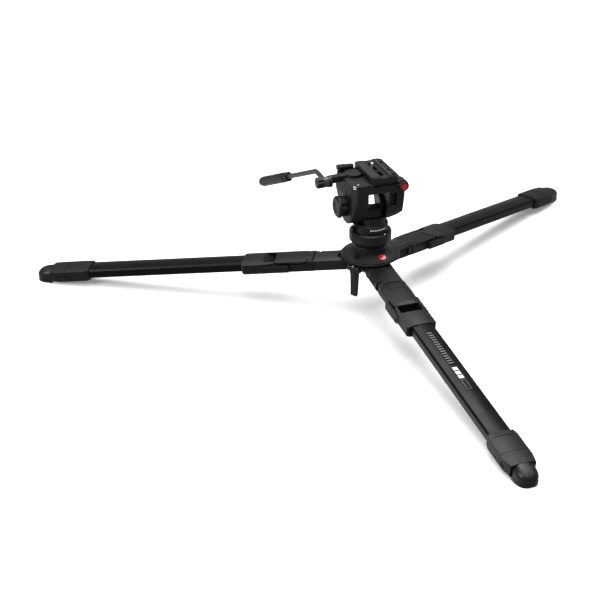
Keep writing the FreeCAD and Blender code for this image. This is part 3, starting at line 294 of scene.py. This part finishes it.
SLOT_FINISH = {"casting": "powder_coat", "moulding": "nylon", "anodised": "anodised",
               "steel": "zinc", "rubber": "rubber", "red_plastic": "red_abs", "vial": "spirit",
               "bar_tube": "bar_paint"}
FINISHES = {}      # filled by the first step, and used by every step after it


# ---------------------------------------------------------------- shapes
def upward(place):
    """The direction of a place's own Z axis."""
    return place.to_3x3() @ Vector((0, 0, 1))


def piece(name, bm, material, body):
    """Turns a bmesh into a finished piece that rides on a body."""
    bmesh.ops.remove_doubles(bm, verts=bm.verts, dist=TOUCH)
    bmesh.ops.recalc_face_normals(bm, faces=bm.faces)
    mesh = bpy.data.meshes.new(name)
    bm.to_mesh(mesh)
    bm.free()
    obj = bpy.data.objects.new(name, mesh)
    bpy.context.scene.collection.objects.link(obj)
    mesh.materials.append(FINISHES[material])
    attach(obj, body)
    return obj


def slab(bm, place, size, depth):
    """A block centred on its place, with its length and width and its depth in mm."""
    made = bmesh.ops.create_cube(bm, size=1.0)["verts"]
    scale = Matrix.Diagonal(Vector(size + (depth,)) * MM).to_4x4()
    bmesh.ops.transform(bm, matrix=place @ scale, verts=made)


def disc(bm, place, radius, height, edge, segments=40):
    """A short cylinder standing on its place, its top edge bevelled. Sizes in mm."""
    lift = Matrix.Translation((0, 0, height * MM / 2))
    made = bmesh.ops.create_cone(bm, cap_ends=True, segments=segments, radius1=radius * MM,
                                 radius2=radius * MM, depth=height * MM,
                                 matrix=place @ lift)["verts"]
    up = upward(place)
    top = place @ Vector((0, 0, height * MM))
    rim = [e for e in {e for v in made for e in v.link_edges}
           if all(abs((v.co - top).dot(up)) < TOUCH for v in e.verts)]
    bmesh.ops.bevel(bm, geom=rim, offset=edge * MM, offset_type="OFFSET", segments=2,
                    profile=0.5, affect="EDGES", material=-1)


def cap_screw(bm, place, radius):
    """A socket head: a bevelled disc with a round recess. Radius in mm."""
    disc(bm, place, radius, height=1.0, edge=0.25, segments=28)
    up = upward(place)
    reach = radius * 1.5 * MM

    def height_of(face):
        offset = face.calc_center_median() - place.translation
        return offset.dot(up) if offset.length < reach else -1

    crown = max(bm.faces, key=height_of)
    bmesh.ops.inset_individual(bm, faces=[crown], thickness=radius * 0.45 * MM)
    sunk = bmesh.ops.extrude_discrete_faces(bm, faces=[crown])["faces"]
    bmesh.ops.translate(bm, vec=-up * 0.7 * MM, verts=list({v for f in sunk for v in f.verts}))


def turned_ring(bm, place, profile, segments=96):
    """Spins a closed profile of (radius, height) points, in mm, about its place's Z axis."""
    verts = [bm.verts.new(place @ Vector((r * MM, 0, z * MM))) for r, z in profile]
    edges = [bm.edges.new((a, b)) for a, b in zip(verts, verts[1:] + verts[:1])]
    bmesh.ops.spin(bm, geom=verts + edges, cent=place.translation, axis=upward(place),
                   angle=2 * math.pi, steps=segments, use_merge=True)


def foot_form(bm, place, grow, low, high=None):
    """A rounded rubber form over a leg's end, a little larger than the foot by grow. It is cut
    level at the heights low and high above the floor. Sizes in mm."""
    made = bmesh.ops.create_uvsphere(bm, u_segments=64, v_segments=40, radius=1.0)["verts"]
    for v in made:
        level = max(1e-6, math.hypot(v.co.x, v.co.y))
        reach = level ** FOOT_SQUARE
        x, y = (math.copysign(abs(c / level) ** FOOT_SQUARE, c) * reach for c in v.co.xy)
        if v.co.z > 0:
            z = FOOT_TALL * v.co.z ** FOOT_DOME
        else:
            z = -FOOT_DEEP * abs(v.co.z) ** FOOT_BELLY
        v.co = Vector((FOOT_BACK + x * (FOOT_LONG + grow), y * (FOOT_WIDE + grow),
                       z - FOOT_WAIST)) * MM
    bmesh.ops.transform(bm, matrix=place, verts=made)
    back = place @ Vector((FOOT_BACK * MM, 0, 0))
    along = place.to_3x3() @ Vector((1, 0, 0))
    cuts = [(back, -along), (Vector((0, 0, low * MM)), Vector((0, 0, -1)))]
    if high:
        cuts.append((Vector((0, 0, high * MM)), Vector((0, 0, 1))))
    for point, normal in cuts:
        bmesh.ops.bisect_plane(bm, geom=bm.verts[:] + bm.edges[:] + bm.faces[:], dist=TOUCH,
                               plane_co=point, plane_no=normal, clear_outer=True)
        bmesh.ops.holes_fill(bm, edges=bm.edges[:], sides=0)
    bm.normal_update()
    for face in bm.faces:
        face.smooth = True
    for edge in bm.edges:
        edge.smooth = len(edge.link_faces) == 2 and edge.calc_face_angle(0.0) < SHARP_FOLD


# ---------------------------------------------------------------- finishes on the frame
def soften(node, width):
    """Rounds a frame node's edges, with modifiers that leave its mesh as it was."""
    weld = node.modifiers.new("Merge", "WELD")
    weld.merge_threshold = WELD_WITHIN
    flat = node.modifiers.new("Flats", "DECIMATE")
    flat.decimate_type = "DISSOLVE"
    flat.angle_limit = FLAT_WITHIN
    edge = node.modifiers.new("Edges", "BEVEL")
    edge.width = width
    edge.segments = 2
    edge.limit_method = "ANGLE"
    edge.angle_limit = BEVEL_OVER
    edge.use_clamp_overlap = True
    edge.harden_normals = False
    shade = node.modifiers.new("Shading", "WEIGHTED_NORMAL")
    shade.keep_sharp = False
    for face in node.data.polygons:
        face.use_smooth = True


def material_for(name, slot):
    """The finish of a frame piece, from its name and its slot in the record."""
    leg = name.split("_")[0]
    if slot == "leg_tube":
        return FINISHES[(leg if leg in LEGS else "front") + "_tube"]
    if slot == "steel" and any(word in name for word in DARK_STEEL):
        return FINISHES["black_oxide"]
    # the plate's strips take the lighter grey rubber, a painted highlight for the light lines along
    # them
    if name == "plate_pads":
        return FINISHES["pad_rubber"]
    return FINISHES[SLOT_FINISH[slot]]


class TRIPOD_OT_frame_finishes(bpy.types.Operator):
    """Gives every piece of the frame its finish and its softened edges"""

    bl_idname = "tripod.frame_finishes"
    bl_label = "Frame finishes"

    def execute(self, context):
        sizes = context.scene.tripod_sizes
        FINISHES.update(make_finishes(context.scene.tripod_colours))
        for part in frame["record"]["subparts"]:
            node = frame["nodes"][part["node"]]
            node.data.materials.clear()
            node.data.materials.append(material_for(part["node"], part["material_slot"]))
            if part["node"] not in SMALL_NODES:
                moulded = part["material_slot"] in ("casting", "moulding", "rubber")
                soften(node, sizes.edge if moulded else sizes.machined_edge)
        return {"FINISHED"}


class TRIPOD_OT_leg_fittings(bpy.types.Operator):
    """Adds the rubber feet, the screws and the printed marks on the legs"""

    bl_idname = "tripod.leg_fittings"
    bl_label = "Leg fittings"

    def execute(self, context):
        sizes = context.scene.tripod_sizes
        along, across, square = COLLAR_SCREW
        for leg, azimuth in LEGS.items():
            place = leg_place(azimuth)
            bm = bmesh.new()
            for side in (-1, 1):
                spot = on_leg(place, along, side * across, square)
                aside = Matrix.Rotation(-side * math.pi / 2, 4, "X")
                cap_screw(bm, spot @ aside, sizes.screw_head / MM)
            piece(leg + "_collar_screws", bm, "black_oxide", leg + "_leg")
            bm = bmesh.new()
            foot_form(bm, place, 0.0, DOME_LOW)
            foot = piece(leg + "_foot_dome", bm, "rubber", leg + "_lower_stage")
            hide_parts(leg + "_rubber_foot")
            bm = bmesh.new()
            foot_form(bm, place, SOLE_PROUD, SOLE_LOW, SOLE_HIGH)
            piece(leg + "_foot_sole", bm, "rubber", leg + "_lower_stage")
        ticks = [((start, 0.0), TICK_SIZE) for start in TICKS]
        bars = [((start, 0.0), BAR_SIZE) for start in BARS]
        depth = 2 * sizes.print_height / MM
        self.printed("front_tube_scale", ticks, "grey_ink", depth)
        self.printed("front_tube_bars", bars, "white_ink", depth)
        self.printed("front_tube_frame", FRAME_LINES, "grey_ink", depth)
        return {"FINISHED"}

    def printed(self, name, marks, ink, depth):
        """Prints marks, each a spot and a size, on the front leg's tube."""
        place = leg_place(LEGS["front"])
        bm = bmesh.new()
        for spot, size in marks:
            slab(bm, on_leg(place, *spot, TUBE_TOP), size, depth)
        piece(name, bm, ink, "front_leg")


class TRIPOD_OT_hub_fittings(bpy.types.Operator):
    """Adds the plain badge and the rim's bead on the hub, and the column lever's screw"""

    bl_idname = "tripod.hub_fittings"
    bl_label = "Hub fittings"

    def execute(self, context):
        sizes = context.scene.tripod_sizes
        rise = Vector((0, 0, 1))
        normal = outward(BADGE_ANGLE) * BADGE_RUN + rise * BADGE_RISE
        sunk = around(BADGE_R, BADGE_ANGLE, BADGE_Z) - normal.normalized() * 0.5 * MM
        bm = bmesh.new()
        disc(bm, facing(sunk, normal), sizes.badge / MM, height=1.5, edge=0.4, segments=56)
        piece("hub_badge", bm, "enamel", "hub")
        bm = bmesh.new()
        turned_ring(bm, Matrix.Translation(at(0, 0, BEAD_Z)), BEAD)
        piece("hub_rim_bead", bm, "powder_coat", "hub")
        normal = outward(LOCK_SCREW_ANGLE) + rise
        sunk = around(LOCK_SCREW_R, LOCK_SCREW_ANGLE, LOCK_SCREW_Z) - normal.normalized() * 0.4 * MM
        bm = bmesh.new()
        cap_screw(bm, facing(sunk, normal), LOCK_SCREW_HEAD)
        piece("lock_lever_screw", bm, "zinc", "lock_lever")
        return {"FINISHED"}


class TRIPOD_OT_head_fittings(bpy.types.Operator):
    """Adds the pan scale, the accent line, the marks, the screw and the button's rim"""

    bl_idname = "tripod.head_fittings"
    bl_label = "Head fittings"

    def execute(self, context):
        bm = bmesh.new()
        for step in SCALE_TICKS:
            angle = SCALE_MIDDLE + step * SCALE_STEP
            tall = SCALE_SHORT if step % 3 else SCALE_LONG
            spot = facing(around(SCALE_R, angle, SCALE_Z), outward(angle))
            slab(bm, spot, (SCALE_LINE, tall), MARK_DEPTH)
        piece("pan_scale", bm, "white_ink", "column")
        bm = bmesh.new()
        turned_ring(bm, Matrix.Translation(at(0, 0, ACCENT_Z)),
                    [(ACCENT_IN, 0.0), (ACCENT_OUT, 0.0), (ACCENT_OUT, ACCENT_TALL),
                     (ACCENT_IN, ACCENT_TALL)])
        piece("base_accent_line", bm, "copper_line", "column")
        bm = bmesh.new()
        spot = facing(around(DOT_R, DOT_ANGLE, DOT_Z), (0, 0, 1))
        disc(bm, spot, DOT_RADIUS, height=0.4, edge=0.1)
        piece("ring_index_dot", bm, "white_ink", "release_ring")
        bm = bmesh.new()
        for spot in ARM_MARKS_AT:
            slab(bm, facing(at(*spot), ARM_CORNER), ARM_MARK_SIZE, MARK_DEPTH)
        piece("arm_marks", bm, "white_ink", "cradle")
        bm = bmesh.new()
        cap_screw(bm, Matrix.Translation(at(*DECK_SCREW)), DECK_SCREW_HEAD)
        piece("deck_screw", bm, "zinc", "cradle")
        bm = bmesh.new()
        turned_ring(bm, facing(at(*BUTTON_FACE), (0, -1, 0)), BUTTON_RIM, segments=64)
        piece("button_rim", bm, "nylon", "release_button")
        return {"FINISHED"}


class TRIPOD_OT_stage(bpy.types.Operator):
    """Makes the pale floor, the studio light and the camera"""

    bl_idname = "tripod.stage"
    bl_label = "Stage"

    def floor(self):
        """A wide sheet of white paper, left out of the reflections."""
        bm = bmesh.new()
        bmesh.ops.create_grid(bm, x_segments=1, y_segments=1, size=FLOOR_HALF)
        mesh = bpy.data.meshes.new("floor")
        bm.to_mesh(mesh)
        bm.free()
        paper = bpy.data.materials.new("white_paper")
        paper.use_nodes = True
        sockets = paper.node_tree.nodes["Principled BSDF"].inputs
        sockets["Base Color"].default_value = (FLOOR_WHITE, FLOOR_WHITE, FLOOR_WHITE, 1.0)
        sockets["Roughness"].default_value = 0.9
        sockets["Emission Color"].default_value = (1.0, 1.0, 1.0, 1.0)
        sockets["Emission Strength"].default_value = FLOOR_GLOW
        mesh.materials.append(paper)
        floor = bpy.data.objects.new("floor", mesh)
        bpy.context.scene.collection.objects.link(floor)
        floor.visible_glossy = False

    def studio(self):
        """A softbox overhead, a dark horizon, and a glow from the floor behind."""
        world = bpy.data.worlds.new("studio")
        world.use_nodes = True
        tree = world.node_tree
        tree.nodes.clear()
        coord = add(tree, "ShaderNodeTexCoord")
        way = add(tree, "ShaderNodeSeparateXYZ", {"Vector": coord.outputs["Generated"]})
        softbox = add(tree, "ShaderNodeMapRange", {"Value": way.outputs["Z"]},
                      {"From Min": 0.72, "From Max": 0.97, "To Min": 0.24, "To Max": 3.6})
        below = add(tree, "ShaderNodeMapRange", {"Value": way.outputs["Z"]},
                    {"From Min": -0.25, "From Max": 0.1, "To Min": 0.75, "To Max": 0.0})
        behind = add(tree, "ShaderNodeMapRange", {"Value": way.outputs["Y"]},
                     {"From Min": -0.3, "From Max": 0.7, "To Min": 0.0, "To Max": 1.0})
        glow = add(tree, "ShaderNodeMath",
                   {0: below.outputs["Result"], 1: behind.outputs["Result"]}, operation="MULTIPLY")
        total = add(tree, "ShaderNodeMath",
                    {0: softbox.outputs["Result"], 1: glow.outputs["Value"]}, operation="ADD")
        sky = add(tree, "ShaderNodeBackground", {"Strength": total.outputs["Value"]},
                  {"Color": (1.0, 1.0, 1.0, 1.0)})
        add(tree, "ShaderNodeOutputWorld", {"Surface": sky.outputs["Background"]})
        return world

    def lamp(self, name, place, size, power):
        """A round lamp that faces the frame's origin."""
        light = bpy.data.lights.new(name, "AREA")
        light.shape = "DISK"
        light.size = size
        light.energy = power
        obj = bpy.data.objects.new(name, light)
        obj.location = place
        obj.rotation_euler = (-Vector(place)).to_track_quat("-Z", "Y").to_euler()
        bpy.context.scene.collection.objects.link(obj)

    def camera(self):
        """The camera, turned by its azimuth and elevation, then rolled."""
        azimuth, elevation, roll = (math.radians(angle) for angle in CAMERA_TURN)
        away = math.cos(elevation)
        back = Vector((math.sin(azimuth) * away, -math.cos(azimuth) * away, math.sin(elevation)))
        right = Vector((math.cos(azimuth), math.sin(azimuth), 0))
        up = back.cross(right)
        level = right * math.cos(roll) + up * math.sin(roll)
        upright = up * math.cos(roll) - right * math.sin(roll)
        turn = Matrix((level, upright, back)).transposed().to_4x4()
        lens = bpy.data.cameras.new("camera")
        lens.lens = LENS
        lens.sensor_width = SENSOR
        camera = bpy.data.objects.new("camera", lens)
        camera.matrix_world = Matrix.Translation(Vector(CAMERA_AT)) @ turn
        bpy.context.scene.collection.objects.link(camera)
        return camera

    def execute(self, context):
        scene = context.scene
        self.floor()
        scene.world = self.studio()
        for lamp in LAMPS:
            self.lamp(*lamp)
        scene.view_settings.view_transform = "Standard"
        scene.camera = self.camera()
        return {"FINISHED"}


class TRIPOD_PT_panel(bpy.types.Panel):
    """Lists the steps that build the tripod's looks"""

    bl_idname = "TRIPOD_PT_panel"
    bl_label = "Video tripod"
    bl_space_type = "VIEW_3D"
    bl_region_type = "UI"
    bl_category = "Tripod"

    def draw(self, context):
        for group in (context.scene.tripod_sizes, context.scene.tripod_colours):
            for key in group.__annotations__:
                self.layout.prop(group, key)
        for step in STEPS:
            self.layout.operator(step.bl_idname)


STEPS = (TRIPOD_OT_frame_finishes, TRIPOD_OT_leg_fittings, TRIPOD_OT_hub_fittings,
         TRIPOD_OT_head_fittings, TRIPOD_OT_stage)
CLASSES = (TripodSizes, TripodColours) + STEPS + (TRIPOD_PT_panel,)


def register():
    for cls in CLASSES:
        bpy.utils.register_class(cls)
    bpy.types.Scene.tripod_sizes = PointerProperty(type=TripodSizes)
    bpy.types.Scene.tripod_colours = PointerProperty(type=TripodColours)


def unregister():
    del bpy.types.Scene.tripod_colours
    del bpy.types.Scene.tripod_sizes
    for cls in reversed(CLASSES):
        bpy.utils.unregister_class(cls)


def main():
    register()
    bpy.ops.tripod.frame_finishes()
    bpy.ops.tripod.leg_fittings()
    bpy.ops.tripod.hub_fittings()
    bpy.ops.tripod.head_fittings()
    bpy.ops.tripod.stage()


if __name__ == "__main__":
    main()
